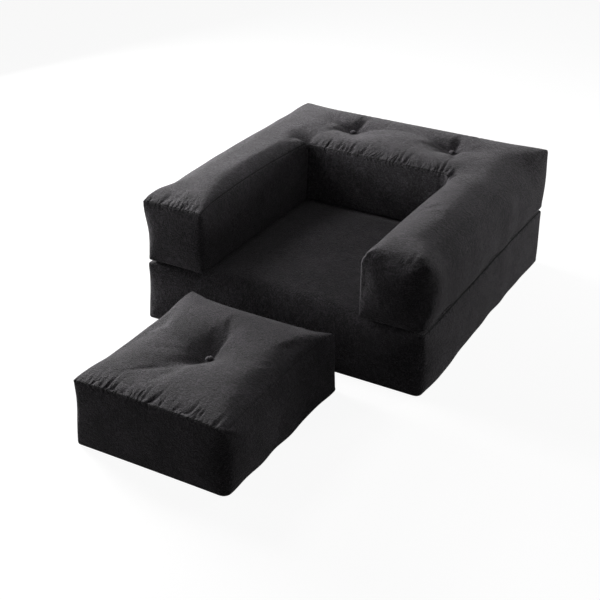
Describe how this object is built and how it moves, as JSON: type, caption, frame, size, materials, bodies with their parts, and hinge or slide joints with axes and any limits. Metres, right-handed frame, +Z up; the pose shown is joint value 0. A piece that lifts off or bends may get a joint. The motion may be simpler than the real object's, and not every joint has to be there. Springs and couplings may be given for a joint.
{
  "type": "chair bed",
  "caption": "Low foam floor chair with U-shaped arms and back, tufted back and matching pouf; the arms and back turn over to the rear to make a flat single bed.",
  "frame": {"origin": "on the floor, under the middle of the chair's footprint (pouf not counted)", "axes": "+Z up, the chair faces -Y with its pouf in front, +X to the right seen from the front"},
  "size_m": [0.9, 1.6242, 0.416],
  "materials": {
    "suede_cover": "matte",
    "cover_underside": "matte",
    "foam": "matte",
    "button_cloth": "matte",
    "tufting_twine": "matte",
    "hinge_cloth": "matte",
    "zip_tape": "matte",
    "zip_metal": "satin",
    "anchor_plastic": "matte"
  },
  "bodies": {
    "base": {"base_top_panel": "suede_cover", "base_side_band": "suede_cover", "base_bottom_panel": "cover_underside", "base_foam_core": "foam", "base_zip": "zip_tape", "hinge_leaf_lower": "hinge_cloth"},
    "arms_back": {"arms_back_top_panel": "suede_cover", "arms_back_outer_band": "suede_cover", "arms_back_inner_band": "suede_cover", "arms_back_bottom_panel": "cover_underside", "left_arm_foam": "foam", "right_arm_foam": "foam", "back_foam": "foam", "back_button_left": "button_cloth", "back_button_right": "button_cloth", "back_anchor_button_left": "anchor_plastic", "back_anchor_button_right": "anchor_plastic", "back_tufting_cord_left": "tufting_twine", "back_tufting_cord_right": "tufting_twine", "arms_back_zip": "zip_tape", "hinge_leaf_upper": "hinge_cloth"},
    "pouf": {"pouf_top_panel": "suede_cover", "pouf_side_band": "suede_cover", "pouf_bottom_panel": "cover_underside", "pouf_foam_core": "foam", "pouf_button": "button_cloth", "pouf_anchor_button": "anchor_plastic", "pouf_tufting_cord": "tufting_twine", "pouf_zip": "zip_tape"},
    "base_zip_slider": {"base_zip_slider": "zip_metal"},
    "base_zip_pull": {"base_zip_pull": "zip_metal"},
    "arms_back_zip_slider": {"arms_back_zip_slider": "zip_metal"},
    "arms_back_zip_pull": {"arms_back_zip_pull": "zip_metal"},
    "pouf_zip_slider": {"pouf_zip_slider": "zip_metal"},
    "pouf_zip_pull": {"pouf_zip_pull": "zip_metal"}
  },
  "joints": [
    {"name": "unfold", "type": "hinge", "parent": "base", "child": "arms_back", "pos_m": [0, 0.491, 0.208], "axis": [-1, 0, 0], "range_deg": [0, 180]},
    {"name": "pouf_slide", "type": "slide", "parent": "base", "child": "pouf", "axis": [0, -1, 0], "range_m": [-0.075, 0.5]},
    {"name": "base_zip_run", "type": "slide", "parent": "base", "child": "base_zip_slider", "axis": [1, 0, 0], "range_m": [-0.494, 0]},
    {"name": "base_zip_pull_swing", "type": "hinge", "parent": "base_zip_slider", "child": "base_zip_pull", "pos_m": [0.247, 0.4793, 0.039], "axis": [0, 0, -1], "range_deg": [0, 180]},
    {"name": "arms_back_zip_run", "type": "slide", "parent": "arms_back", "child": "arms_back_zip_slider", "axis": [1, 0, 0], "range_m": [-0.494, 0]},
    {"name": "arms_back_zip_pull_swing", "type": "hinge", "parent": "arms_back_zip_slider", "child": "arms_back_zip_pull", "pos_m": [0.247, 0.4793, 0.2394], "axis": [0, 0, -1], "range_deg": [0, 180]},
    {"name": "pouf_zip_run", "type": "slide", "parent": "pouf", "child": "pouf_zip_slider", "axis": [1, 0, 0], "range_m": [-0.244, 0]},
    {"name": "pouf_zip_pull_swing", "type": "hinge", "parent": "pouf_zip_slider", "child": "pouf_zip_pull", "pos_m": [0.122, -0.5787, 0.039], "axis": [0, 0, -1], "range_deg": [0, 180]}
  ]
}
